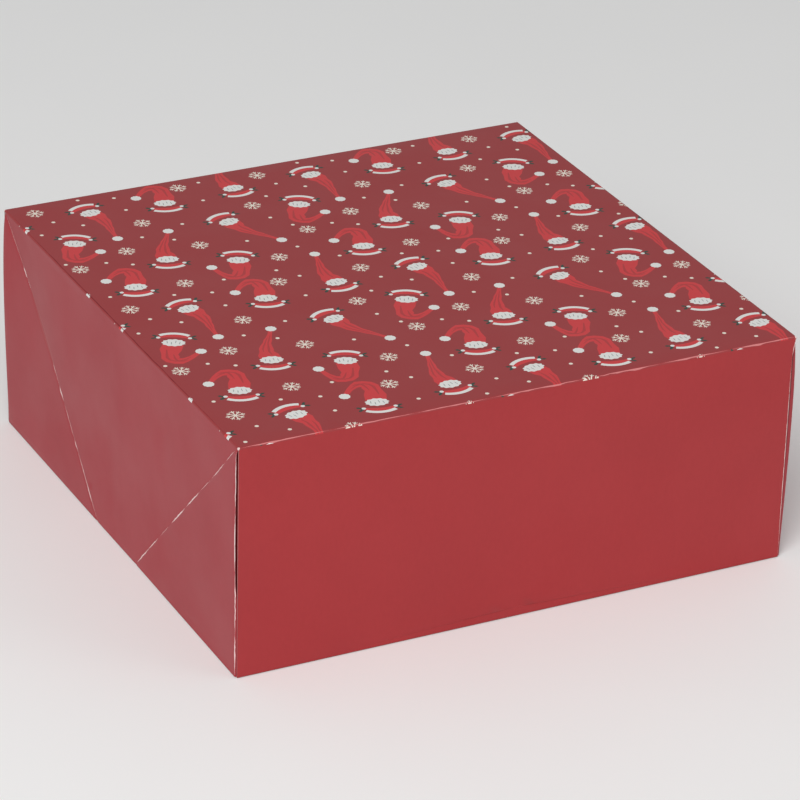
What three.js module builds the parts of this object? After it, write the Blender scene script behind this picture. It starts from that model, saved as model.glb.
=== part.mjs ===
// A two-piece folding board box for cookies: a full-depth lid over a base tray.
// Each piece is one creased sheet with a top or floor panel, two plain walls at the front and back, and two
// folding sides. A folding side is a centre panel with a gusset at each end, split off by a 45 degree crease.
// Each gusset turns the corner into a glue tab inside a plain wall, so the base folds flat without tearing.
// Millimetres, +Z up. The origin is under the middle of the base's floor, and the front is at -Y.
import * as THREE from 'three';

// Outside of the closed box
const lidWidth = 260;
const lidDepth = 255;
const boxHeight = 106.5;

// Board and clearances
const boardThickness = 0.5;
const creaseGap = 0.3; // between panels that meet at a crease, and between boards that lie on each other
const slipClearance = 1; // between the base's walls and the inside of the lid
const seatGap = 0.4; // under the lid's top panel and under its lower edge
const layerHeight = boardThickness + creaseGap;

// Glue tabs
const tabLength = 24;
const tabTaper = 8; // how far the tab's free edge is shorter at each end
const tabInset = creaseGap; // between a plain wall's inside and the tab glued to it

// Base tray, inside the lid's walls and tabs
const baseWidth = lidWidth - 2 * (boardThickness + slipClearance);
const baseDepth = lidDepth - 2 * (boardThickness + tabInset + boardThickness + slipClearance);
const baseTop = boxHeight - boardThickness - seatGap;

// Folded flat, the base's layers lie in this order: floor, side centres, gussets, glue tabs, plain walls
const sideAxisHeight = layerHeight;
const wallAxisHeight = 4 * layerHeight;
const gussetAxisInset = creaseGap + layerHeight;
const foldedEdgeHeight = wallAxisHeight + creaseGap; // lower edge of tabs and gussets, clear of the lips
const creaseOffset = 0.22; // from the 45 degree crease's middle to the panel on each side, along the wall

// Quarter turns about Z that bring a wall built at the front to its own side
const sideTurns = { front: 0, right: Math.PI / 2, back: Math.PI, left: -Math.PI / 2 };

const paint = {
  lidTop: { color: 0x93403f, roughness: 0.45 },
  lidWall: { color: 0xa63d40, roughness: 0.45 },
  lidSide: { color: 0xa1474c, roughness: 0.4 },
  baseWall: { color: 0x9c393c, roughness: 0.5 },
  board: { color: 0xd9d4ca, roughness: 0.85 },
};

const box = new THREE.Group();

// One flat panel: an outline of [along, height] points seen from outside, given its thickness inwards from
// an outside face that stands outerDistance in front of the origin, then turned to its side of the box.
function addPanel(name, side, outline, outerDistance, thickness, finish) {
  const shape = new THREE.Shape(outline.map(([along, height]) => new THREE.Vector2(along, height)));
  const geometry = new THREE.ExtrudeGeometry(shape, { depth: thickness, bevelEnabled: false });
  geometry.rotateX(Math.PI / 2);
  geometry.translate(0, thickness - outerDistance, 0);
  const material = new THREE.MeshStandardMaterial({ ...finish, metalness: 0 });
  const mesh = new THREE.Mesh(geometry, material);
  mesh.name = name;
  mesh.rotation.z = sideTurns[side];
  box.add(mesh);
}

function trapezoid(halfAtLow, low, halfAtHigh, high) {
  return [[-halfAtLow, low], [halfAtLow, low], [halfAtHigh, high], [-halfAtHigh, high]];
}

function rectangle(halfLength, low, high) {
  return trapezoid(halfLength, low, halfLength, high);
}

function mirrored(outline) {
  return outline.map(([along, height]) => [-along, height]);
}

// The ends of each side, as the side is seen from outside: end -1 is on the left and end 1 on the right
function cornerName(side, end) {
  const rightOf = { front: 'right', right: 'back', back: 'left', left: 'front' };
  const leftOf = { front: 'left', right: 'front', back: 'right', left: 'back' };
  const other = end > 0 ? rightOf[side] : leftOf[side];
  return side === 'front' || side === 'back' ? `${side}_${other}` : `${other}_${side}`;
}

// The same board panel at both ends of a side
function addAtEnds(name, side, outline, outerDistance, finish) {
  addPanel(`${name}_${cornerName(side, 1)}`, side, outline, outerDistance, boardThickness, finish);
  addPanel(`${name}_${cornerName(side, -1)}`, side, mirrored(outline), outerDistance, boardThickness, finish);
}

// A glue tab behind each end of a plain wall, tapered towards its free edge
function addTabs(piece, side, halfWidth, wallOuter, low, high) {
  const start = halfWidth - layerHeight;
  const free = start - tabLength;
  const outline = [[start, low], [start, high], [free, high - tabTaper], [free, low + tabTaper]];
  addAtEnds(`${piece}_tab`, side, outline, wallOuter - boardThickness - tabInset, paint.board);
}

function addLidTop() {
  const outline = rectangle(lidWidth / 2, boxHeight - boardThickness, boxHeight);
  addPanel('lid_top_panel', 'front', outline, lidDepth / 2, lidDepth, paint.lidTop);
}

function addLidWalls() {
  const low = seatGap;
  const high = boxHeight - layerHeight;
  for (const side of ['front', 'back']) {
    const outline = rectangle(lidWidth / 2, low, high);
    addPanel(`lid_${side}_wall`, side, outline, lidDepth / 2, boardThickness, paint.lidWall);
    addTabs('lid', side, lidWidth / 2, lidDepth / 2, low, high);
  }
}

// The lid's 45 degree creases start at its top corners, so each centre panel narrows downwards
function addLidSides() {
  const low = seatGap;
  const high = boxHeight - layerHeight;
  const corner = lidDepth / 2;
  const centreAt = (height) => corner - (boxHeight - height) - creaseOffset;
  const gussetAt = (height) => corner - (boxHeight - height) + creaseOffset;
  const edge = corner - layerHeight;
  const gussetTop = boxHeight - (corner - edge) - 2 * creaseOffset;
  for (const side of ['left', 'right']) {
    const centre = trapezoid(centreAt(low), low, centreAt(high), high);
    addPanel(`lid_${side}_centre`, side, centre, lidWidth / 2, boardThickness, paint.lidSide);
    const gusset = [[gussetAt(low), low], [edge, low], [edge, gussetTop]];
    addAtEnds('lid_gusset', side, gusset, lidWidth / 2, paint.lidSide);
  }
}

// The floor with the low lips that lift the plain walls' creases above the layers folded under them
function addBaseFloor() {
  const half = baseDepth / 2;
  const lipTop = wallAxisHeight - 2 * creaseGap;
  const outline = [
    [-half, 0], [half, 0], [half, lipTop], [half - boardThickness, lipTop],
    [half - boardThickness, boardThickness], [boardThickness - half, boardThickness],
    [boardThickness - half, lipTop], [-half, lipTop],
  ];
  addPanel('base_floor_panel', 'left', outline, baseWidth / 2, baseWidth, paint.board);
}

function addBaseWalls() {
  const low = wallAxisHeight - creaseGap;
  for (const side of ['front', 'back']) {
    const outline = rectangle(baseWidth / 2, low, baseTop);
    addPanel(`base_${side}_wall`, side, outline, baseDepth / 2, boardThickness, paint.baseWall);
    addTabs('base', side, baseWidth / 2, baseDepth / 2, foldedEdgeHeight, baseTop);
  }
}

// The base's 45 degree creases start at its bottom corners, so each centre panel narrows upwards
function addBaseSides() {
  const inside = baseDepth / 2 - boardThickness;
  const axisAlong = inside - gussetAxisInset;
  const edge = axisAlong + boardThickness;
  const centreAt = (height) => axisAlong - (height - sideAxisHeight) - creaseOffset;
  const gussetAt = (height) => axisAlong - (height - sideAxisHeight) + creaseOffset;
  for (const side of ['left', 'right']) {
    const centre = trapezoid(centreAt(sideAxisHeight), sideAxisHeight, centreAt(baseTop), baseTop);
    addPanel(`base_${side}_centre`, side, centre, baseWidth / 2, boardThickness, paint.baseWall);
    const gusset = [
      [gussetAt(foldedEdgeHeight), foldedEdgeHeight], [edge, foldedEdgeHeight],
      [edge, baseTop], [gussetAt(baseTop), baseTop],
    ];
    addAtEnds('base_gusset', side, gusset, baseWidth / 2, paint.baseWall);
  }
}

addLidTop();
addLidWalls();
addLidSides();
addBaseFloor();
addBaseWalls();
addBaseSides();

export default box;
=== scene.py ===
# Folding board cookie box: a printed lid over a plain base tray.
# Every panel is one piece of thin board, cut flat, bent round its creases and given its thickness inwards.
# Work is done in millimetres in the frame's own axes: front at -Y, left at -X, up +Z.
import math
import random
import bpy
import bmesh
from mathutils import Matrix, Vector, noise
from mathutils.geometry import delaunay_2d_cdt, interpolate_bezier


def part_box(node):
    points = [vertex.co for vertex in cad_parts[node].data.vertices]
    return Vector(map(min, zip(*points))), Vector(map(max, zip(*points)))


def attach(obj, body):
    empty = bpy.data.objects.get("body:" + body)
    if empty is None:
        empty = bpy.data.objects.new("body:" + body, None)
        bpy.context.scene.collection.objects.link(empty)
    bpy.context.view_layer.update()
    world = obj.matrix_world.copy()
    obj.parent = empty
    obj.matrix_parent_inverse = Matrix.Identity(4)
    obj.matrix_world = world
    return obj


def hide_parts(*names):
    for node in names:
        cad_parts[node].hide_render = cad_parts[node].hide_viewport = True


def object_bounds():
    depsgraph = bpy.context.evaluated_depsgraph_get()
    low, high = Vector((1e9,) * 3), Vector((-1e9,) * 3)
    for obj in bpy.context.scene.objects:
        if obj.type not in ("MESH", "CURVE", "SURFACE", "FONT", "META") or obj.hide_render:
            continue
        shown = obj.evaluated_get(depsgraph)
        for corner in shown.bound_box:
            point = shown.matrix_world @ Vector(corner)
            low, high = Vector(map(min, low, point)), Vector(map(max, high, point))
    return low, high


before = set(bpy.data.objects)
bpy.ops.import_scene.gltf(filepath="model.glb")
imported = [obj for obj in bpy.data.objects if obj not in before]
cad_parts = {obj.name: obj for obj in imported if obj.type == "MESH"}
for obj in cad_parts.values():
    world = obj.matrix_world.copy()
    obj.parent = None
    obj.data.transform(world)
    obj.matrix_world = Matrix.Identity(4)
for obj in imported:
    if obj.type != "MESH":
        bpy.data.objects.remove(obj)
cadLow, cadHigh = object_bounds()
mm = 0.001

board = {
    "thickness": 0.5,
    "foldRadius": 0.9,      # outside of the top panel's folds
    "cornerRadius": 0.8,    # outside of the upright folds, where a gusset turns into its glue tab
    "gap": 0.3,             # between a wall and the tab glued behind it
    "seat": 0.4,            # the lid's lower edge above the ground
    "sharpAngle": 38,
}
halfWide = cadHigh[0] / mm
halfDeep = cadHigh[1] / mm
top = cadHigh[2] / mm
wallTop = top - board["foldRadius"]


def newMaterial(name):
    material = bpy.data.materials.new(name)
    material.use_nodes = True
    nodes, links = material.node_tree.nodes, material.node_tree.links
    shader = nodes["Principled BSDF"]
    place = nodes.new("ShaderNodeTexCoord")
    return material, nodes, links, shader, place.outputs["Object"]


def addNoise(nodes, links, coordinates, size, detail, roughness=0.5, stretch=(1, 1, 1)):
    # size is how wide one patch of the pattern is, in mm
    mapping = nodes.new("ShaderNodeMapping")
    mapping.inputs["Scale"].default_value = stretch
    links.new(coordinates, mapping.inputs["Vector"])
    pattern = nodes.new("ShaderNodeTexNoise")
    pattern.inputs["Scale"].default_value = 1 / (size * mm)
    pattern.inputs["Detail"].default_value = detail
    pattern.inputs["Roughness"].default_value = roughness
    links.new(mapping.outputs["Vector"], pattern.inputs["Vector"])
    return pattern.outputs["Fac"]


def spread(nodes, links, value, low, high):
    ramp = nodes.new("ShaderNodeMapRange")
    ramp.inputs["From Min"].default_value = 0.3
    ramp.inputs["From Max"].default_value = 0.7
    ramp.inputs["To Min"].default_value = low
    ramp.inputs["To Max"].default_value = high
    links.new(value, ramp.inputs["Value"])
    return ramp.outputs["Result"]


def addBumps(nodes, links, shader, layers):
    # layers are (pattern, height in mm), from the coarsest to the finest
    normal = None
    for pattern, height in layers:
        bump = nodes.new("ShaderNodeBump")
        bump.inputs["Strength"].default_value = 1
        bump.inputs["Distance"].default_value = height * mm
        links.new(pattern, bump.inputs["Height"])
        if normal:
            links.new(normal, bump.inputs["Normal"])
        normal = bump.outputs["Normal"]
    links.new(normal, shader.inputs["Normal"])


coating = {
    "roughness": (0.40, 0.50),
    "sheenPatch": 34,       # mm, how the satin coating varies
    "waveSize": 45, "waveHeight": 0.16,
    "grainSize": 1.1, "grainHeight": 0.006,
    "toothSize": 0.35, "toothHeight": 0.0018,
    "cloudSize": 55, "mottleSize": 1.6, "mottleShare": 0.45,    # in the solid ink of the plain panels
}


def coatedSurface(nodes, links, shader, place):
    patch = addNoise(nodes, links, place, coating["sheenPatch"], 3)
    links.new(spread(nodes, links, patch, *coating["roughness"]), shader.inputs["Roughness"])
    waves = addNoise(nodes, links, place, coating["waveSize"], 1)
    grain = addNoise(nodes, links, place, coating["grainSize"], 3, 0.6, (1, 1, 0.35))
    tooth = addNoise(nodes, links, place, coating["toothSize"], 2)
    addBumps(nodes, links, shader, [
        (waves, coating["waveHeight"]),
        (grain, coating["grainHeight"]),
        (tooth, coating["toothHeight"]),
    ])


def printedInk(name, colour, sheen=0.5):
    material, nodes, links, shader, place = newMaterial(name)
    shader.inputs["Base Color"].default_value = (*colour, 1)
    shader.inputs["Specular IOR Level"].default_value = sheen
    coatedSurface(nodes, links, shader, place)
    return material


def plainInk(name, dark, light, sheen=0.5):
    # solid ink over fibre: slow cloudiness with a fine mottle in it
    material, nodes, links, shader, place = newMaterial(name)
    cloud = addNoise(nodes, links, place, coating["cloudSize"], 4, 0.55)
    mottle = addNoise(nodes, links, place, coating["mottleSize"], 4, 0.7, (1, 1, 0.5))
    blend = nodes.new("ShaderNodeMix")
    blend.inputs[0].default_value = coating["mottleShare"]
    links.new(cloud, blend.inputs[2])
    links.new(mottle, blend.inputs[3])
    tone = nodes.new("ShaderNodeMix")
    tone.data_type = "RGBA"
    tone.inputs[6].default_value = (*dark, 1)
    tone.inputs[7].default_value = (*light, 1)
    links.new(spread(nodes, links, blend.outputs[0], 0, 1), tone.inputs[0])
    links.new(tone.outputs[2], shader.inputs["Base Color"])
    shader.inputs["Specular IOR Level"].default_value = sheen
    coatedSurface(nodes, links, shader, place)
    return material


fibreForm = {"roughness": 0.88, "sheen": 0.3, "height": 0.02}


def rawBoard(name, dark, light, size):
    # uncoated fibre, with short strands lying along the sheet
    material, nodes, links, shader, place = newMaterial(name)
    fibre = addNoise(nodes, links, place, size, 5, 0.7, (0.25, 1, 1))
    tone = nodes.new("ShaderNodeMix")
    tone.data_type = "RGBA"
    tone.inputs[6].default_value = (*dark, 1)
    tone.inputs[7].default_value = (*light, 1)
    links.new(spread(nodes, links, fibre, 0, 1), tone.inputs[0])
    links.new(tone.outputs[2], shader.inputs["Base Color"])
    shader.inputs["Roughness"].default_value = fibreForm["roughness"]
    shader.inputs["Specular IOR Level"].default_value = fibreForm["sheen"]
    addBumps(nodes, links, shader, [(fibre, fibreForm["height"])])
    return material


inkColours = {
    "ground": (0.315, 0.031, 0.034),
    "cap": (0.600, 0.036, 0.042),
    "capFold": (0.430, 0.030, 0.034),
    "trim": (0.760, 0.765, 0.740),
    "trimShade": (0.380, 0.400, 0.395),
    "leaf": (0.018, 0.052, 0.038),
    "snow": (0.820, 0.740, 0.640),
    # partly worn ink, partly a painted highlight: the pale line on the front top crease
    "wornHighlight": (0.600, 0.200, 0.200),
    # painted shade: a thin dark red line standing in for the shade in the lid top's side creases
    "creaseShade": (0.170, 0.014, 0.018),
    "bare": (0.82, 0.62, 0.60),
}
boardColours = {    # the darkest and the lightest tone of each
    "lidWall": ((0.345, 0.014, 0.018), (0.389, 0.019, 0.023)),
    "lidSide": ((0.330, 0.015, 0.024), (0.368, 0.020, 0.031)),
    "baseWall": ((0.335, 0.014, 0.019), (0.375, 0.019, 0.024)),
    "inside": ((0.56, 0.54, 0.50), (0.68, 0.66, 0.62)),
    "cutEdge": ((0.36, 0.14, 0.14), (0.50, 0.24, 0.23)),
}
fibreSize = {"inside": 2.4, "cutEdge": 0.8}     # mm
ground = printedInk("lidGround", inkColours["ground"])
capInk = printedInk("capRed", inkColours["cap"])
capFoldInk = printedInk("capFoldRed", inkColours["capFold"])
trimInk = printedInk("trimWhite", inkColours["trim"])
trimShadeInk = printedInk("trimGrey", inkColours["trimShade"])
leafInk = printedInk("leafGreen", inkColours["leaf"])
snowInk = printedInk("snowCream", inkColours["snow"])
wornHighlightInk = printedInk("wornCreaseHighlight", inkColours["wornHighlight"], 0.3)
creaseShadeInk = printedInk("paintedCreaseShade", inkColours["creaseShade"], 0.2)
bareFibre = printedInk("bareFibre", inkColours["bare"], 0.2)
lidWallInk = plainInk("lidWallRed", *boardColours["lidWall"])
lidSideInk = plainInk("lidSideRed", *boardColours["lidSide"])
baseWallInk = plainInk("baseWallRed", *boardColours["baseWall"])
insideBoard = rawBoard("insideBoard", *boardColours["inside"], fibreSize["inside"])
cutEdge = rawBoard("cutEdge", *boardColours["cutEdge"], fibreSize["cutEdge"])
plainSet = {"bare": 1, "inside": 2, "edge": 3}     # a plain sheet's material slots, after its ink


def ringArea(ring):
    return 0.5 * sum(a[0] * b[1] - b[0] * a[1] for a, b in zip(ring, ring[1:] + ring[:1]))


def turnedLeft(ring):
    return ring if ringArea(ring) > 0 else ring[::-1]


def stepsAlong(start, end, pitch):
    count = max(1, round((Vector(end) - Vector(start)).length / pitch))
    return [Vector(start).lerp(Vector(end), i / count) for i in range(count + 1)]


def cutSheet(outline, shapes, place, outward, inks, pitch=10, bends=(), thickness=board["thickness"]):
    # The outline is cut into faces along every shape printed on it and every bend line, each face takes the
    # ink of the shape printed last, and whatever falls outside the outline is trimmed off.
    points, rings, edges = [], [], []
    for ring in [outline] + [ring for _, ring in shapes]:
        rings.append(list(range(len(points), len(points) + len(ring))))
        points.extend(Vector(p) for p in turnedLeft(list(ring)))
    for start, end in bends:
        run = stepsAlong(start, end, pitch)
        edges.extend((len(points) + i, len(points) + i + 1) for i in range(len(run) - 1))
        points.extend(run)
    lowU, highU = min(p[0] for p in outline), max(p[0] for p in outline)
    lowV, highV = min(p[1] for p in outline), max(p[1] for p in outline)
    columns, rows = max(1, round((highU - lowU) / pitch)), max(1, round((highV - lowV) / pitch))
    for i in range(1, columns):
        for j in range(1, rows):
            points.append(Vector((lowU + (highU - lowU) * i / columns, lowV + (highV - lowV) * j / rows)))
    flat, _, faces, _, _, sources = delaunay_2d_cdt(points, edges, rings, 0, 1e-4, True)

    bm = bmesh.new()
    verts = [bm.verts.new(Vector(place(p.x, p.y)) * mm) for p in flat]
    paints = [0] + [ink for ink, _ in shapes]
    for face, source in zip(faces, sources):
        if 0 in source:
            bm.faces.new([verts[i] for i in face]).material_index = paints[max(source)]
    bmesh.ops.delete(bm, geom=[v for v in bm.verts if not v.link_faces], context="VERTS")
    bm.normal_update()
    if sum((f.normal * f.calc_area() for f in bm.faces), Vector()).dot(Vector(outward)) < 0:
        bmesh.ops.reverse_faces(bm, faces=bm.faces[:])
    depths = [(v, v.normal * thickness * mm) for v in bm.verts]
    behind = bm.faces[:]
    front = bmesh.ops.extrude_face_region(bm, geom=behind, use_keep_orig=True)["geom"]
    front = {g for g in front if isinstance(g, bmesh.types.BMFace)}
    for vert, depth in depths:      # the original faces become the back of the board
        vert.co -= depth
    behind = set(behind)
    for face in bm.faces:
        face.smooth = True
        if face in behind:
            face.material_index = inks["inside"]
        elif face not in front:
            face.material_index = inks["edge"]
    for edge in bm.edges:
        edge.smooth = edge.calc_face_angle(0) < math.radians(board["sharpAngle"])
    return bm


def addPiece(name, bm, materials, body, node):
    mesh = bpy.data.meshes.new(name)
    bm.to_mesh(mesh)
    bm.free()
    for material in materials:
        mesh.materials.append(material)
    piece = bpy.data.objects.new(name, mesh)
    bpy.context.scene.collection.objects.link(piece)
    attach(piece, body)
    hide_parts(node)


def plainMaterials(ink):
    return [ink, bareFibre, insideBoard, cutEdge]


def bumpAt(value, middle, width):
    return math.exp(-((value - middle) / width) ** 2)


def wave(x, y, z, size, height):
    return height * noise.noise(Vector((x, y, z)) / size)


capShape = {
    "long": {
        "spine": [(0, 1.5), (-2.2, 12), (2.4, 18), (4.6, 27.5)],
        "widths": (4.4, 4.1, 3.5, 2.9, 2.4, 2.0, 1.6, 1.3, 1.0, 0.8),
        "pompom": (5.2, 29.6),
    },
    "curled": {
        "spine": [(0, 1.5), (4.0, 19), (-3.5, 23), (-10.6, 9.6)],
        "widths": (4.4, 4.3, 4.0, 3.7, 3.3, 2.9, 2.5, 2.0, 1.5, 1.0),
        "pompom": (-11.8, 7.6),
    },
}
motif = {
    "pompomRadius": 2.4, "brimHalfWidth": 4.9, "brimHalfHeight": 3.3,
    "ribbonHalfSpan": 6.3, "ribbonDrop": 7.0, "ribbonThickness": 1.9,
    "ribbonHang": 2.6,      # sets how far its middle hangs below its ends
    "ribbonRise": 1.9,      # from the pale band up to the red one, and up to the sprigs
    "leafLength": 3.6, "berryRadius": 0.95,
    "snowRadius": 4.2, "snowLine": 0.52, "dotRadius": 0.9,
}
pattern = {
    "tile": 109,
    "caps": [  # kind, across, down, turn in degrees, mirrored
        ("long", 34, 19, -169, 1), ("curled", 69, 22, -12, 1), ("long", 104, 19, 3, 1),
        ("curled", 15, 47, 154, 1), ("long", 87, 52, -163, -1), ("long", 46, 78, -14, 1),
        ("curled", 74, 91, 158, -1), ("curled", 22, 99, -15, 1),
    ],
    "snow": [(11, 10), (81, 9), (51, 38), (104, 40), (33, 63), (7, 73), (65, 70), (92, 95), (43, 104)],
    "dots": [
        (34, 4), (50, 8), (92, 7), (15, 22), (50, 22), (86, 26), (5, 33), (26, 30), (67, 46), (45, 52),
        (106, 55), (57, 60), (20, 71), (30, 77), (86, 74), (104, 88), (8, 104), (60, 107), (85, 107),
        (112, 66),
    ],
}


def blobRing(middle, halfWidth, halfHeight, count, lobes=0, depth=0.0):
    ring = []
    for i in range(count):
        angle = math.tau * i / count
        size = 1 + depth * math.cos(lobes * angle)
        u, v = halfWidth * size * math.cos(angle), halfHeight * size * math.sin(angle)
        ring.append((middle[0] + u, middle[1] + v))
    return ring


def bandRing(spine, widths, side=0.0):
    # the outline of a band of changing half width along a spine, moved sideways by a share of its width
    left, right = [], []
    for i, point in enumerate(spine):
        before, after = spine[max(i - 1, 0)], spine[min(i + 1, len(spine) - 1)]
        across = (after - before).normalized()
        across = Vector((-across.y, across.x))
        middle = point + across * side * widths[i]
        left.append(tuple(middle + across * widths[i]))
        right.append(tuple(middle - across * widths[i]))
    return left + right[::-1]


def bezier(points, count):
    knot = [Vector((*p, 0)) for p in points]
    return [p.xy for p in interpolate_bezier(knot[0], knot[1], knot[2], knot[3], count)]


def leafRing(middle, length, turn):
    half = length / 2
    ring = [(-half, 0), (-half * 0.45, 0.75), (0, 0.55), (half * 0.4, 0.7), (half, 0.1), (half * 0.4, -0.6),
            (0, -0.5), (-half * 0.5, -0.7)]
    c, s = math.cos(turn), math.sin(turn)
    return [(middle[0] + u * c - v * s, middle[1] + u * s + v * c) for u, v in ring]


def capMotif(kind, inks):
    # a stocking cap with a fluffy brim and pompom, over a ribbon with a sprig at each end
    shape = capShape[kind]
    count = len(shape["widths"])
    spine = bezier(shape["spine"], count)
    wobble = [w * (1 + 0.12 * math.sin(2.3 * i)) for i, w in enumerate(shape["widths"])]
    shapes = [(inks["cap"], bandRing(spine, wobble))]
    for start, end, side, share in ((1, 6, 0.35, 0.16), (2, 8, -0.45, 0.14), (4, 9, 0.25, 0.16)):
        part = spine[start:end]
        fold = [share * wobble[start + i] * math.sin(math.pi * (i + 0.4) / (len(part) - 0.2)) + 0.05
                for i in range(len(part))]
        shift = [side * wobble[start + i] for i in range(len(part))]
        ring = bandRing([p + Vector((s, 0)) for p, s in zip(part, shift)], fold)
        shapes.append((inks["capFold"], ring))
    puff = motif["pompomRadius"]
    shapes.append((inks["trim"], blobRing(shape["pompom"], puff, puff, 20, 10, 0.05)))

    drop, span, thick = motif["ribbonDrop"], motif["ribbonHalfSpan"], motif["ribbonThickness"]
    hang = -drop - motif["ribbonHang"]
    arc = bezier([(-span, -drop), (-span * 0.4, hang), (span * 0.4, hang), (span, -drop)], 9)
    upper = [p + Vector((0, motif["ribbonRise"])) for p in arc]
    shapes.append((inks["cap"], bandRing(upper, [0.9 + 0.9 * math.sin(math.pi * i / 8) for i in range(9)])))
    shapes.append((inks["trim"], bandRing(arc, [thick / 2] * 9)))
    for end in (-1, 1):
        for turn, reach in ((0.5, 2.0), (-0.7, 1.7)):
            middle = (end * (span + reach), -drop + motif["ribbonRise"] + turn * 1.6)
            shapes.append((inks["leaf"], leafRing(middle, motif["leafLength"], end * turn)))
        berry = motif["berryRadius"]
        shapes.append((inks["trim"], blobRing((end * (span + 0.4), -drop + 2.3), berry, berry, 10)))

    brim = blobRing((0, 0), motif["brimHalfWidth"], motif["brimHalfHeight"], 44, 11, 0.07)
    shapes.append((inks["trim"], brim))
    for middle, bend in (((-2.6, 0.2), 0.5), ((-0.9, -0.9), 0.3), ((0.9, 0.5), -0.3), ((2.7, -0.4), -0.5)):
        stroke = bezier([(middle[0], middle[1] + 1.3), (middle[0] + bend, middle[1] + 0.5),
                         (middle[0] - bend, middle[1] - 0.5), (middle[0], middle[1] - 1.3)], 5)
        shapes.append((inks["trimShade"], bandRing(stroke, (0.05, 0.2, 0.24, 0.18, 0.05))))
    return shapes


def snowMotif(ink):
    reach, half = motif["snowRadius"], motif["snowLine"] / 2
    shapes = [(ink, blobRing((0, 0), 0.75, 0.75, 8))]
    for arm in range(8):
        angle = math.tau * arm / 8
        c, s = math.cos(angle), math.sin(angle)

        def turned(u, v):
            return (u * c - v * s, u * s + v * c)

        length = reach if arm % 2 == 0 else reach * 0.92
        bar = [(0, -half), (length, -half), (length, half), (0, half)]
        shapes.append((ink, [turned(*p) for p in bar]))
        for side in (-1, 1):
            barb = [(0.50 * length, 0), (0.80 * length, side * 1.05), (0.92 * length, side * 1.0),
                    (0.66 * length, 0)]
            shapes.append((ink, [turned(*p) for p in barb]))
    return shapes


def laidDown(shapes, x, y, turn=0.0, mirrored=1):
    c, s = math.cos(math.radians(turn)), math.sin(math.radians(turn))
    return [(ink, [(x + mirrored * u * c - v * s, y + mirrored * u * s + v * c) for u, v in ring])
            for ink, ring in shapes]


def printOnTop(inks):
    caps = {kind: capMotif(kind, inks) for kind in capShape}
    snow = snowMotif(inks["snow"])
    dot = [(inks["snow"], blobRing((0, 0), motif["dotRadius"], motif["dotRadius"], 10))]
    shapes = []
    for row in range(-1, 3):
        for column in range(-1, 3):
            left = -halfWide + column * pattern["tile"]
            back = halfDeep - row * pattern["tile"]
            for across, down in pattern["dots"]:
                shapes.extend(laidDown(dot, left + across, back - down))
            for i, (across, down) in enumerate(pattern["snow"]):
                shapes.extend(laidDown(snow, left + across, back - down, 7 * (i % 3)))
            for kind, across, down, turn, mirrored in pattern["caps"]:
                shapes.extend(laidDown(caps[kind], left + across, back - down, turn, mirrored))
    return [(ink, ring) for ink, ring in shapes
            if any(abs(u) < halfWide and abs(v) < halfDeep for u, v in ring)]


lidForm = {
    "wallSetBack": 0.35,    # a plain wall's end, back from the side's plane
    "wallTuck": 1.3,        # how much further back it stands below its upper corner
    "topSag": 0.35,
    "wornHighlightWidth": 0.22, "creaseShadeWidth": 0.2,
    "wornHighlightMarks": (-88, -51, -17, 31, 64, 97),   # between the stretches of the front edge's pale line of worn ink and painted highlight
    "creaseDepth": 0.16, "creaseWidth": 0.8,
    "gussetLean": {(-1, -1): 0.3, (-1, 1): 1.2, (1, -1): 1.5, (1, 1): 1.0},   # by side and end, mm
    "ridge": {(-1, 1): -1.5, (1, -1): -0.5, (1, 1): -0.8},  # how far a 45 degree crease stands out
    "gape": 1.05,           # how far the near left fold stands back from the front wall
    "gapeFrom": (30, 62), "gapeTo": (101, 105.5),   # the heights over which it comes and goes
    "heldBack": 0.15,       # how far the near right fold stands back
    "splitWidth": 2.0, "splitLow": 36, "splitHigh": 105,    # where the near left fold has parted from its tab
    "unevenSize": 55, "unevenHeight": 0.4,
    "press": {"along": -52, "height": 69, "wide": 6, "tall": 9, "depth": 0.3},  # one soft spot on the left
    "tuckDrop": 9,          # how far below the upper corner the tuck is complete
    "tabLength": 24, "tabTaper": 8,
}


def onLidTop(x, y):
    radius = board["foldRadius"]
    over = max(abs(x) - (halfWide - radius), abs(y) - (halfDeep - radius), 0) / radius
    over = min(over, 1)
    fromEdge = min(halfWide - abs(x), halfDeep - abs(y))
    settle = 1 - math.exp(-(max(fromEdge - radius, 0) / 25) ** 2)
    sag = settle * (wave(x, y, 0, 70, lidForm["topSag"]) - 0.1)
    return (x, y, top - radius * (1 - math.sqrt(1 - over * over)) + sag)


crack = {"pitch": 1.3, "stray": 0.3, "narrowest": 0.35, "widest": 1.2, "taper": 3}


def jaggedRing(start, end, halfWidth, draw, pitch=crack["pitch"]):
    # a crack in the ink: a thin sliver of uneven width along a line
    a, b = Vector(start), Vector(end)
    along = (b - a).normalized()
    across = Vector((-along.y, along.x))
    count = max(4, round((b - a).length / pitch))
    left, right = [tuple(a)], []
    for i in range(1, count):
        point = a.lerp(b, i / count) + across * draw.uniform(-crack["stray"], crack["stray"]) * halfWidth
        taper = min(1, crack["taper"] * i / count, crack["taper"] * (count - i) / count)
        width = halfWidth * taper
        left.append(tuple(point + across * width * draw.uniform(crack["narrowest"], crack["widest"])))
        right.append(tuple(point - across * width * draw.uniform(crack["narrowest"], crack["widest"])))
    return left + [tuple(b)] + right[::-1]


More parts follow.
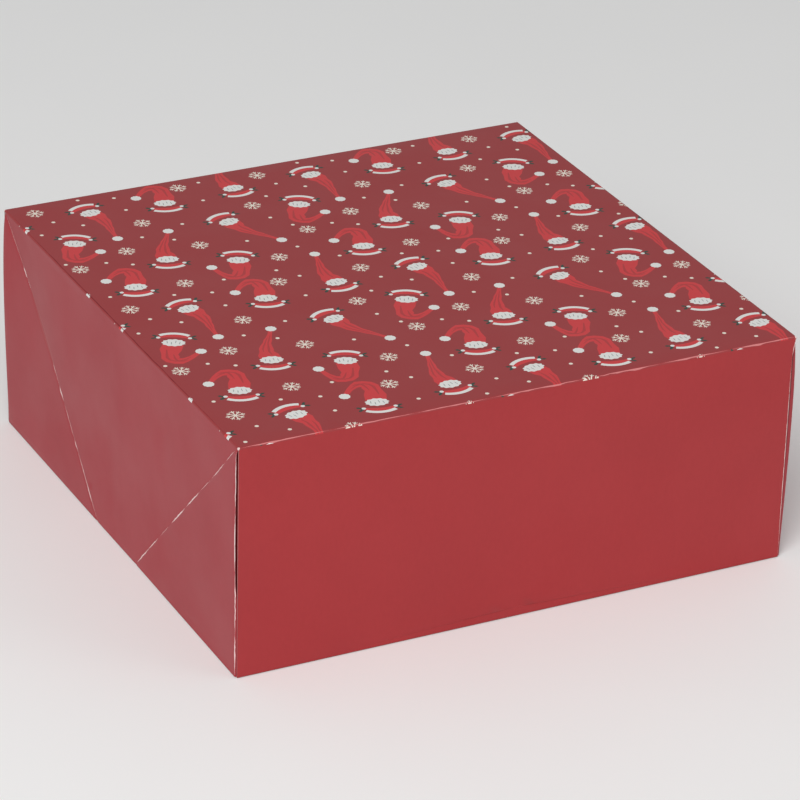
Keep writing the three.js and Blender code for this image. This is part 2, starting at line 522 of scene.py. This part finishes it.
def addLidTop():
    names = ["cap", "capFold", "trim", "trimShade", "leaf", "snow", "wornHighlight", "creaseShade", "bare", "inside", "edge"]
    inks = {name: i + 1 for i, name in enumerate(names)}
    materials = [ground, capInk, capFoldInk, trimInk, trimShadeInk, leafInk, snowInk, wornHighlightInk, creaseShadeInk,
                 bareFibre, insideBoard, cutEdge]
    radius = board["foldRadius"]
    bends = []
    for share in (0.0, 0.3, 0.55, 0.76, 0.91):
        x, y = halfWide - radius * (1 - share), halfDeep - radius * (1 - share)
        bends += [((-x, -y), (x, -y)), ((x, -y), (x, y)), ((x, y), (-x, y)), ((-x, y), (-x, -y))]
    for u, v in ((-1, -1), (1, -1), (1, 1), (-1, 1)):
        bends.append(((u * (halfWide - radius), v * (halfDeep - radius)), (u * halfWide, v * halfDeep)))
    draw = random.Random(11)
    shapes = printOnTop(inks)
    # painted shade: a thin dark red line along the left and right top creases stands in for the shade in the
    # fold
    for sign in (-1, 1):
        shadedAt = sign * (halfWide - radius * 0.62)
        line = jaggedRing((shadedAt, -halfDeep + 2), (shadedAt, halfDeep - 1), lidForm["creaseShadeWidth"], draw, 5)
        shapes.append((inks["creaseShade"], line))
    # partly worn ink, partly a painted highlight: a pale pink line along the rounded front crease only, where
    # the fold catches the light
    highlightLine = halfDeep - radius * 0.3
    marks = [-halfWide + 1, *lidForm["wornHighlightMarks"], halfWide - 0.6]
    for start, stop in zip(marks, marks[1:]):
        line = jaggedRing((start, -highlightLine), (stop, -highlightLine), lidForm["wornHighlightWidth"], draw, 3)
        shapes.append((inks["wornHighlight"], line))
    for u, v in ((-1, -1), (1, -1), (1, 1), (-1, 1)):
        spot = blobRing((u * (halfWide - 0.35), v * (halfDeep - 0.35)), 0.55, 0.55, 7, 3, 0.3)
        shapes.append((inks["bare"], spot))
    outline = [(-halfWide, -halfDeep), (halfWide, -halfDeep), (halfWide, halfDeep), (-halfWide, halfDeep)]
    bm = cutSheet(outline, shapes, onLidTop, (0, 0, 1), inks, 11, bends)
    addPiece("lidTopPanel", bm, materials, "lid", "lid_top_panel")


wallForm = {
    "bow": 0.5, "backBow": 1.0,
    "unevenSize": 60, "unevenHeight": 0.5,
    "dentFrom": (-6, 0), "dentTo": (22, 26), "dentWidth": 3.2, "dentDepth": 0.35,
}


def wallRelief(x, z, sign):
    # how far a plain wall stands out: a slow bow, free along its lower edge, and the front's one soft dent
    low = 1 - z / wallTop
    relief = wallForm["bow"] * (1 - (x / halfWide) ** 2) * low * (1 - 0.4 * low)
    uneven = wave(x, sign * 40, z, wallForm["unevenSize"], wallForm["unevenHeight"])
    relief += uneven * min(1, (wallTop - z) / 18)
    if sign > 0:
        relief += wallForm["backBow"] * hump(z)
    else:
        a, b = Vector(wallForm["dentFrom"]), Vector(wallForm["dentTo"])
        along = (b - a).normalized()
        offset = Vector((x, z)) - a
        run = offset.dot(along) / (b - a).length
        aside = offset.dot(Vector((-along.y, along.x)))
        if run < 1:
            fade = (1 - max(run, 0)) ** 0.7
            relief -= wallForm["dentDepth"] * fade * bumpAt(aside, 0, wallForm["dentWidth"])
    return relief


def addLidWalls():
    end = halfWide - lidForm["wallSetBack"]
    tucked = end - lidForm["wallTuck"]
    low = board["seat"]
    bent = wallTop - lidForm["tuckDrop"]
    outline = [(-end, low), (tucked, low), (tucked, bent), (end, wallTop), (-end, wallTop)]
    draw = random.Random(3)
    cut = 0.1               # from the sheet's end to the middle of its broken ink
    shapes = [
        (1, jaggedRing((tucked - cut, bent), (tucked - cut, 1), 0.16, draw)),
        (1, jaggedRing((end - cut, wallTop - 0.3), (tucked - cut, wallTop - 8.7), 0.14, draw)),
    ]
    for side, sign in (("front", -1), ("back", 1)):
        def place(x, z):
            return (x, sign * (halfDeep + wallRelief(x, z, sign)), z)

        bm = cutSheet(outline, shapes, place, (0, sign, 0), plainSet, 4)
        name = "lidFrontWall" if sign < 0 else "lidBackWall"
        addPiece(name, bm, plainMaterials(lidWallInk), "lid", f"lid_{side}_wall")


def creaseAt(z):
    return halfDeep - (top - z)     # how far from the middle the lid's 45 degree crease is at that height


foldStart = halfDeep - board["thickness"] - board["gap"] - board["cornerRadius"]
foldRun = board["cornerRadius"] * math.pi / 2


def hump(z):
    # no movement along the top fold, most at about a third of the way down, and little at the lower edge
    return math.sin(math.pi * min(max(1 - z / top, 0.004), 1) ** 0.6)


def eased(value, low, high):
    share = min(max((value - low) / (high - low), 0), 1)
    return share * share * (3 - 2 * share)


def foldShift(sign, end, z):
    # how far an upright fold stands out past its place along the side: the back wall bows out and takes its
    # folds with it, and the near left fold stands back behind the front wall
    if end > 0:
        return wallForm["backBow"] * hump(z)
    if sign > 0:
        return -lidForm["heldBack"]
    share = 0.8 * eased(z, *lidForm["gapeFrom"]) * (1 - eased(z, *lidForm["gapeTo"]))
    return -lidForm["gape"] * (0.2 + share)


def lidSideRelief(sign, along, z):
    end = 1 if along > 0 else -1
    depth = max(top - z, 0.5)
    beyond = abs(along) - creaseAt(z)
    share = min(max(beyond / depth, 0), 1)
    relief = lidForm["gussetLean"][sign, end] * hump(z) * share ** 1.2
    ridge = lidForm["ridge"].get((sign, end), 0) * math.sin(math.pi * min(depth / top, 1) ** 0.8)
    relief += ridge * (1 - share if beyond > 0 else math.exp(beyond / 30))
    relief -= lidForm["creaseDepth"] * bumpAt(beyond / math.sqrt(2), 0, lidForm["creaseWidth"])
    uneven = wave(sign * 30, along, z, lidForm["unevenSize"], lidForm["unevenHeight"])
    relief += uneven * min(1, (wallTop - z) / 16)
    if sign < 0:
        press = lidForm["press"]
        relief -= (press["depth"] * bumpAt(along, press["along"], press["wide"])
                   * bumpAt(z, press["height"], press["tall"]))
    return relief


def onLidSide(sign):
    radius = board["cornerRadius"]

    def place(along, z):
        end = 1 if along > 0 else -1
        shift = foldShift(sign, end, z)
        over = abs(along) - foldStart
        near = min(max((over + 20) / 20, 0), 1)
        relief = lidSideRelief(sign, math.copysign(min(abs(along), foldStart), along), z)
        if over <= 0:
            return (sign * (halfWide + relief), along + end * shift * near, z)
        angle = min(over / radius, math.pi / 2)
        x = halfWide + relief - radius * (1 - math.cos(angle)) - max(over - foldRun, 0)
        return (sign * x, end * (foldStart + shift + radius * math.sin(angle)), z)

    return place


def creaseCracks(sign, end, draw):
    # where the ink has broken along one crease, as (from, to, half width) in mm down from the top
    runs = {
        (-1, -1): [(3, 12, 0.12), (13, 26, 0.2), (28, 37, 0.08), (38, 52, 0.3), (53, 67, 0.34),
                   (70, 79, 0.07), (81, 92, 0.26), (91, 105, 0.3)],
        (-1, 1): [(2, 21, 0.2), (20, 24, 0.5), (24, 37, 0.18), (36, 40, 0.45), (40, 62, 0.24),
                  (61, 66, 0.55), (66, 80, 0.2), (79, 83, 0.6), (83, 105, 0.4)],
    }.get((sign, end), [(4, 30, 0.16), (34, 58, 0.22), (62, 78, 0.12), (82, 104, 0.26)])
    shapes = []
    for start, stop, halfWidth in runs:
        a = (end * (halfDeep - start), top - start)
        b = (end * (halfDeep - stop), top - stop)
        shapes.append((1, jaggedRing(a, b, halfWidth, draw)))
    return shapes


def creaseBends(end, low):
    bends = []
    for aside in (-2.4, -1.2, -0.6, 0.6, 1.2, 2.4):
        shift = aside * math.sqrt(2)
        bends.append(((end * (creaseAt(low) + shift), low), (end * (creaseAt(wallTop) + shift), wallTop)))
    return bends


def parted(sign, end, low, edge):
    # the gusset's and the tab's edges at their common fold, apart from each other where the fold has split
    whole = [(end * edge, low), (end * edge, wallTop)]
    if (sign, end) != (-1, -1):
        return whole, whole
    below, above = lidForm["splitLow"], lidForm["splitHigh"]
    sides = []
    for shift in (-0.5 * foldRun, lidForm["splitWidth"]):
        split = end * (edge + shift)
        sides.append([whole[0], (end * edge, below), (split, below + 8), (split, above - 1),
                      (end * edge, above), whole[1]])
    return sides


def addLidSides():
    low = board["seat"]
    draw = random.Random(5)
    foldLines = [foldStart + foldRun * share for share in (0, 0.25, 0.5, 0.75)]
    for side, sign in (("left", -1), ("right", 1)):
        place = onLidSide(sign)
        cracks = {end: creaseCracks(sign, end, draw) for end in (-1, 1)}
        creases = creaseBends(-1, low) + creaseBends(1, low)
        a, b = creaseAt(low), creaseAt(wallTop)
        outline = [(-a, low), (a, low), (b, wallTop), (-b, wallTop)]
        bm = cutSheet(outline, cracks[-1] + cracks[1], place, (sign, 0, 0), plainSet, 4, creases)
        addPiece(f"lid{side.title()}Centre", bm, plainMaterials(lidSideInk), "lid", f"lid_{side}_centre")
        for end in (-1, 1):
            corner = ("front" if end < 0 else "back") + "_" + side
            title = corner.title().replace("_", "")
            edge = foldStart + foldRun
            foldEdge, tabEdge = parted(sign, end, low, edge)
            outline = [(end * a, low)] + foldEdge + [(end * b, wallTop)]
            bends = creaseBends(end, low) + [((end * u, low), (end * u, wallTop)) for u in foldLines]
            crest = foldStart + foldRun * 0.35
            shapes = cracks[end] + [
                (1, jaggedRing((end * crest, stop), (end * crest, start), width, draw))
                for start, stop, width in ((104, 76, 0.24), (77, 48, 0.3), (49, 20, 0.26), (21, 1, 0.28))
            ]
            bm = cutSheet(outline, shapes, place, (sign, 0, 0), plainSet, 4, bends)
            addPiece(f"lidGusset{title}", bm, plainMaterials(lidSideInk), "lid", f"lid_gusset_{corner}")
            free, taper = edge + lidForm["tabLength"], lidForm["tabTaper"]
            outline = tabEdge + [(end * free, wallTop - taper), (end * free, low + taper)]
            bm = cutSheet(outline, [], place, (0, end, 0), plainSet, 8)
            addPiece(f"lidTab{title}", bm, plainMaterials(lidSideInk), "lid", f"lid_tab_{corner}")


_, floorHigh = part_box("base_floor_panel")
_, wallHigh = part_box("base_front_wall")
baseForm = {
    "halfWide": floorHigh[0] / mm,
    "halfDeep": floorHigh[1] / mm,
    "top": wallHigh[2] / mm,
    "radius": 0.8,
    "lipTop": 2.75,         # where the floor's lips meet the plain walls
    "lowEdge": 3.5,         # lower edge of gussets and tabs, clear of the lips when folded
    "wallSetBack": 0.6,
    "creaseDepth": 0.08, "creaseWidth": 0.7,
    "tabLength": 24, "tabTaper": 8,
}


def onBaseFloor(x, y):
    radius = baseForm["radius"]
    inX, inY = baseForm["halfWide"] - radius, baseForm["halfDeep"] - radius
    over = min(max(abs(x) - inX, abs(y) - inY, 0) / radius, 1)
    z = radius * (1 - math.sqrt(1 - over * over))
    lip = max(abs(y) - baseForm["halfDeep"], 0)
    return (x, math.copysign(min(abs(y), baseForm["halfDeep"]), y), z + lip)


def addBaseFloor():
    radius = baseForm["radius"]
    wide, deep = baseForm["halfWide"], baseForm["halfDeep"]
    lip = deep + baseForm["lipTop"] - radius
    end = wide - radius
    outline = [(-wide, -deep), (-end, -deep), (-end, -lip), (end, -lip), (end, -deep), (wide, -deep),
               (wide, deep), (end, deep), (end, lip), (-end, lip), (-end, deep), (-wide, deep)]
    bends = [((-end, -deep), (end, -deep)), ((-end, deep), (end, deep))]
    for share in (0.0, 0.35, 0.65, 0.88):
        x, y = wide - radius * (1 - share), deep - radius * (1 - share)
        bends += [((-x, -y), (x, -y)), ((x, -y), (x, y)), ((x, y), (-x, y)), ((-x, y), (-x, -y))]
    bm = cutSheet(outline, [], onBaseFloor, (0, 0, -1), plainSet, 14, bends)
    addPiece("baseFloorPanel", bm, plainMaterials(baseWallInk), "base_floor", "base_floor_panel")


def addBaseWalls():
    end = baseForm["halfWide"] - baseForm["wallSetBack"]
    deep, high = baseForm["halfDeep"], baseForm["top"]
    low = baseForm["lipTop"]
    for side, sign in (("front", -1), ("back", 1)):
        outline = [(-end, low), (end, low), (end, high), (-end, high)]

        def place(x, z):
            return (x, sign * deep, z)

        bm = cutSheet(outline, [], place, (0, sign, 0), plainSet, 14)
        addPiece(f"base{side.title()}Wall", bm, plainMaterials(baseWallInk), f"base_{side}",
                 f"base_{side}_wall")


def onBaseSide(sign):
    radius = baseForm["radius"]
    start = baseForm["halfDeep"] - board["thickness"] - board["gap"] - radius

    def place(along, z):
        end = 1 if along > 0 else -1
        wide = baseForm["halfWide"]
        beyond = abs(along) - baseCreaseAt(z)
        dip = baseForm["creaseDepth"] * bumpAt(beyond / math.sqrt(2), 0, baseForm["creaseWidth"])
        over = abs(along) - start
        if over <= 0:
            return (sign * (wide - dip), along, z)
        angle = min(over / radius, math.pi / 2)
        x = wide - radius * (1 - math.cos(angle)) - max(over - radius * math.pi / 2, 0)
        return (sign * x, end * (start + radius * math.sin(angle)), z)

    return place, start


def baseCreaseAt(z):
    return baseForm["halfDeep"] - board["thickness"] - 1.1 - (z - 0.8)


def addBaseSides():
    low, high, edgeLow = baseForm["radius"], baseForm["top"], baseForm["lowEdge"]
    draw = random.Random(23)
    for side, sign in (("left", -1), ("right", 1)):
        place, start = onBaseSide(sign)
        wideLow, wideHigh = baseCreaseAt(low), baseCreaseAt(high)
        bends, cracks = {}, {}
        for end in (-1, 1):
            bends[end] = [((end * (wideLow + s), low), (end * (wideHigh + s), high))
                          for s in (-1.4, -0.7, 0.7, 1.4)]
            cracks[end] = [
                (1, jaggedRing((end * baseCreaseAt(a), a), (end * baseCreaseAt(b), b), width, draw))
                for a, b, width in ((6, 30, 0.12), (33, 60, 0.18), (64, 98, 0.14))
            ]
        outline = [(-wideLow, low), (wideLow, low), (wideHigh, high), (-wideHigh, high)]
        shapes, creases = cracks[-1] + cracks[1], bends[-1] + bends[1]
        bm = cutSheet(outline, shapes, place, (sign, 0, 0), plainSet, 12, creases)
        addPiece(f"base{side.title()}Centre", bm, plainMaterials(baseWallInk), f"base_{side}",
                 f"base_{side}_centre")
        edge = start + baseForm["radius"] * math.pi / 2
        folds = [start + (edge - start) * share for share in (0, 0.25, 0.5, 0.75)]
        for end in (-1, 1):
            corner = ("front" if end < 0 else "back") + "_" + side
            title = corner.title().replace("_", "")
            outline = [(end * baseCreaseAt(edgeLow), edgeLow), (end * edge, edgeLow), (end * edge, high),
                       (end * wideHigh, high)]
            lines = bends[end] + [((end * u, edgeLow), (end * u, high)) for u in folds]
            bm = cutSheet(outline, cracks[end], place, (sign, 0, 0), plainSet, 12, lines)
            addPiece(f"baseGusset{title}", bm, plainMaterials(baseWallInk), f"gusset_{corner}",
                     f"base_gusset_{corner}")
            free, taper = edge + baseForm["tabLength"], baseForm["tabTaper"]
            outline = [(end * edge, edgeLow), (end * free, edgeLow + taper), (end * free, high - taper),
                       (end * edge, high)]
            bm = cutSheet(outline, [], place, (0, end, 0), plainSet, 12)
            wall = "base_front" if end < 0 else "base_back"
            addPiece(f"baseTab{title}", bm, plainMaterials(baseWallInk), wall, f"base_tab_{corner}")


studio = {
    "floorSize": 8, "floorColour": (0.92, 0.92, 0.915), "floorPatch": 120, "floorRoughness": (0.55, 0.65),
    "worldColour": (1.0, 1.0, 1.0), "worldStrength": 0.38,
    "keyPlace": (-1.55, -1.70, 2.25), "keySize": 2.2, "keyPower": 70,
    "fillPlace": (2.2, -2.2, 1.4), "fillSize": 1.8, "fillPower": 9,
}
cameraForm = {
    "place": (-0.74485, -1.47815, 0.87124),
    "target": (0.00512, -0.00312, 0.04399),
    "roll": 1.55, "lens": 188.1, "sensorWidth": 36, "clip": (0.05, 30),
}


def addLight(name, place, size, power):
    light = bpy.data.lights.new(name, "AREA")
    light.shape = "DISK"
    light.size = size
    light.energy = power
    lamp = bpy.data.objects.new(name, light)
    lamp.location = place
    lamp.rotation_euler = (-Vector(place)).to_track_quat("-Z", "Y").to_euler()
    bpy.context.scene.collection.objects.link(lamp)


def addStudio():
    bm = bmesh.new()
    bmesh.ops.create_grid(bm, x_segments=1, y_segments=1, size=studio["floorSize"] / 2)
    mesh = bpy.data.meshes.new("studioFloor")
    bm.to_mesh(mesh)
    bm.free()
    material, nodes, links, shader, place = newMaterial("paleFloor")
    shader.inputs["Base Color"].default_value = (*studio["floorColour"], 1)
    roughness = addNoise(nodes, links, place, studio["floorPatch"], 2)
    links.new(spread(nodes, links, roughness, *studio["floorRoughness"]), shader.inputs["Roughness"])
    mesh.materials.append(material)
    floor = bpy.data.objects.new("studioFloor", mesh)
    bpy.context.scene.collection.objects.link(floor)

    world = bpy.data.worlds.new("studioWorld")
    world.use_nodes = True
    background = world.node_tree.nodes["Background"]
    background.inputs["Color"].default_value = (*studio["worldColour"], 1)
    background.inputs["Strength"].default_value = studio["worldStrength"]
    bpy.context.scene.world = world
    addLight("keyLight", studio["keyPlace"], studio["keySize"], studio["keyPower"])
    addLight("fillLight", studio["fillPlace"], studio["fillSize"], studio["fillPower"])


def addCamera():
    camera = bpy.data.cameras.new("studioCamera")
    camera.lens = cameraForm["lens"]
    camera.sensor_width = cameraForm["sensorWidth"]
    camera.clip_start, camera.clip_end = cameraForm["clip"]
    holder = bpy.data.objects.new("studioCamera", camera)
    aim = (Vector(cameraForm["target"]) - Vector(cameraForm["place"])).to_track_quat("-Z", "Y")
    aim = aim.to_matrix().to_4x4()
    roll = math.radians(cameraForm["roll"])
    holder.matrix_world = Matrix.Translation(cameraForm["place"]) @ aim @ Matrix.Rotation(roll, 4, "Z")
    bpy.context.scene.collection.objects.link(holder)
    bpy.context.scene.camera = holder


addLidTop()
print("lid top printed")
addLidWalls()
addLidSides()
print("lid walls and sides folded")
addBaseFloor()
addBaseWalls()
addBaseSides()
print("base tray folded")
addStudio()
addCamera()
print("studio and camera set")
bpy.context.scene.view_settings.view_transform = "Standard"
